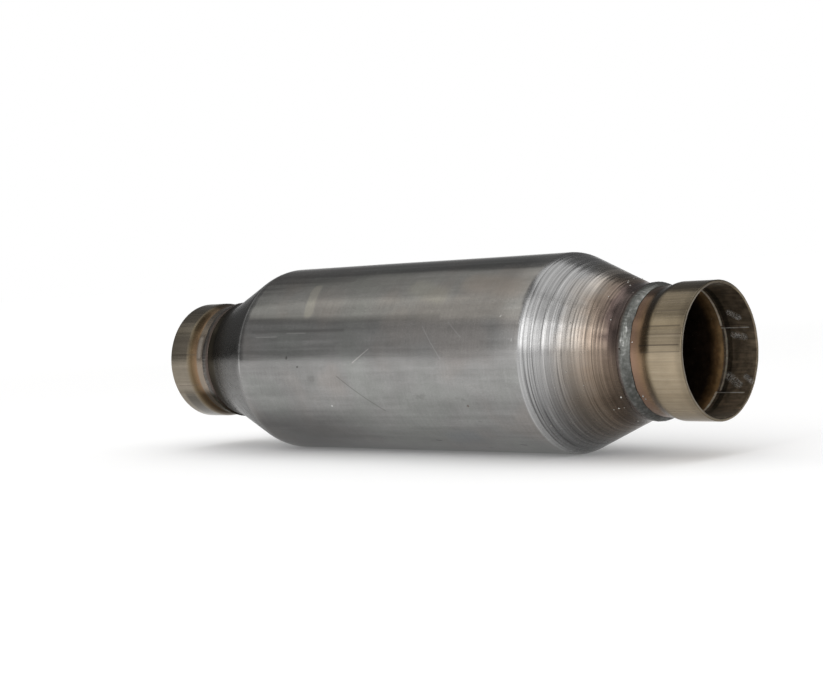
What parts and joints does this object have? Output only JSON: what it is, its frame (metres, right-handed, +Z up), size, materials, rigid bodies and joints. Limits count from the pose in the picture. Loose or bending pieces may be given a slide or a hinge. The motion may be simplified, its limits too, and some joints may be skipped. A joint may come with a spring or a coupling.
{
  "type": "catalytic converter",
  "caption": "Round spun steel catalytic converter with a cone, neck and welded pipe socket at each end, and ceramic honeycomb bricks in support mats inside.",
  "frame": {"origin": "on the axis, halfway between the two socket rims", "axes": "+X along the axis towards the inlet, +Z up"},
  "size_m": [0.3584, 0.1016, 0.1016],
  "materials": {
    "shell_steel": "bare stainless steel, satin, spun grooves on the cones, brown heat tint by the welds",
    "socket_steel": "bare stainless steel tube, straw to pink heat tint, lengthwise tool marks",
    "weld_metal": "as-laid weld bead, grey",
    "ceramic": "matt, washcoated",
    "fibre_mat": "matt felt",
    "seal_wire": "knitted and pressed wire"
  },
  "bodies": {
    "root": {"shell": "shell_steel", "inlet_socket": "socket_steel", "outlet_socket": "socket_steel", "inlet_weld": "weld_metal", "outlet_weld": "weld_metal", "inlet_substrate": "ceramic", "outlet_substrate": "ceramic", "inlet_mat": "fibre_mat", "outlet_mat": "fibre_mat", "inlet_outer_seal": "seal_wire", "inlet_inner_seal": "seal_wire", "outlet_outer_seal": "seal_wire", "outlet_inner_seal": "seal_wire"}
  },
  "joints": []
}
